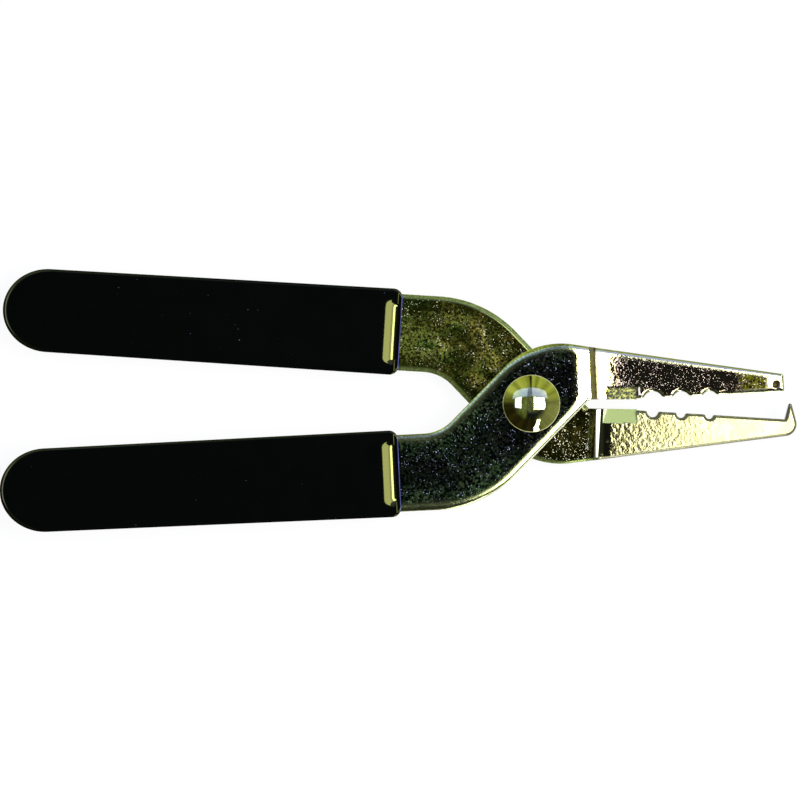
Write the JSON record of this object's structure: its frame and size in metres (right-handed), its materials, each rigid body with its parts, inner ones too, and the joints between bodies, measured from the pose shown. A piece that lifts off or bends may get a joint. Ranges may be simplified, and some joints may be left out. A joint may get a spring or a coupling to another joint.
{
  "type": "fishing pliers",
  "caption": "Stamped steel fishing pliers: crossing arms on a domed rivet, with a line cutter, crimping notches and a split-ring hook in the jaws, and dipped vinyl grips.",
  "frame": {"origin": "on the pivot axis, at the flat foot of the rivet's peened tail, on which the tool lies", "axes": "+X towards the jaws' tips, +Z along the pivot axis towards the rivet's domed head, +Y towards the rear arm's handle"},
  "size_m": [0.1401, 0.0466, 0.0094],
  "materials": {
    "plated_steel": "bright plating over a slightly grained stamping",
    "rivet_steel": "polished plating",
    "dipped_vinyl": "glossy black dip coating"
  },
  "bodies": {
    "front_half": {"front_arm": "plated_steel", "front_grip": "dipped_vinyl", "pivot_rivet": "rivet_steel", "rivet_washer": "rivet_steel"},
    "rear_half": {"rear_arm": "plated_steel", "rear_grip": "dipped_vinyl"}
  },
  "joints": [
    {"name": "pivot", "type": "hinge", "parent": "front_half", "child": "rear_half", "pos_m": [0, 0, 0.00428], "axis": [0, 0, -1], "range_deg": [-6.2, 60]}
  ]
}
